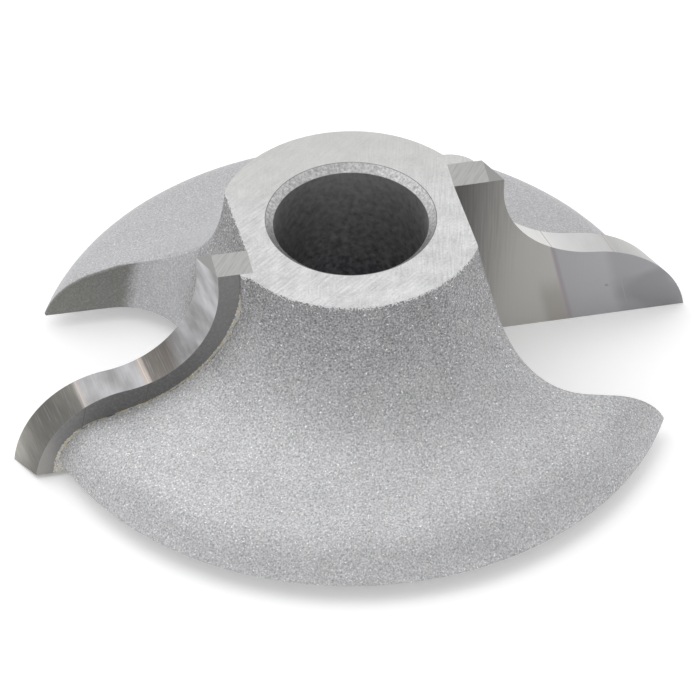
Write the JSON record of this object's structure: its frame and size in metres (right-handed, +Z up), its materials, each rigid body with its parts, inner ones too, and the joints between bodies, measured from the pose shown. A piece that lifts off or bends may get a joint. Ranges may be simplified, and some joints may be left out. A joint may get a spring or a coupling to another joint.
{
  "type": "shaper cutter",
  "caption": "Bored ogee moulding cutter for a spindle: flared blasted steel body with wings, each carrying a thick brazed cutting plate.",
  "frame": {"origin": "on the bore axis, at the lower clamping face", "axes": "+Z up the spindle axis towards the narrow end of the hub, +X outwards along the cutting face of wing a, whose cutting face looks to -Y"},
  "size_m": [0.1446, 0.132, 0.0444],
  "materials": {
    "blasted_steel": "grit-blasted, with ground clamping faces",
    "hard_alloy": "ground and lapped",
    "braze": "ground flush"
  },
  "bodies": {
    "root": {"cutter_body": "blasted_steel", "root_tip_a": "hard_alloy", "middle_tip_a": "hard_alloy", "outer_tip_a": "hard_alloy", "root_tip_b": "hard_alloy", "middle_tip_b": "hard_alloy", "outer_tip_b": "hard_alloy", "braze_a": "braze", "braze_b": "braze"}
  },
  "joints": []
}
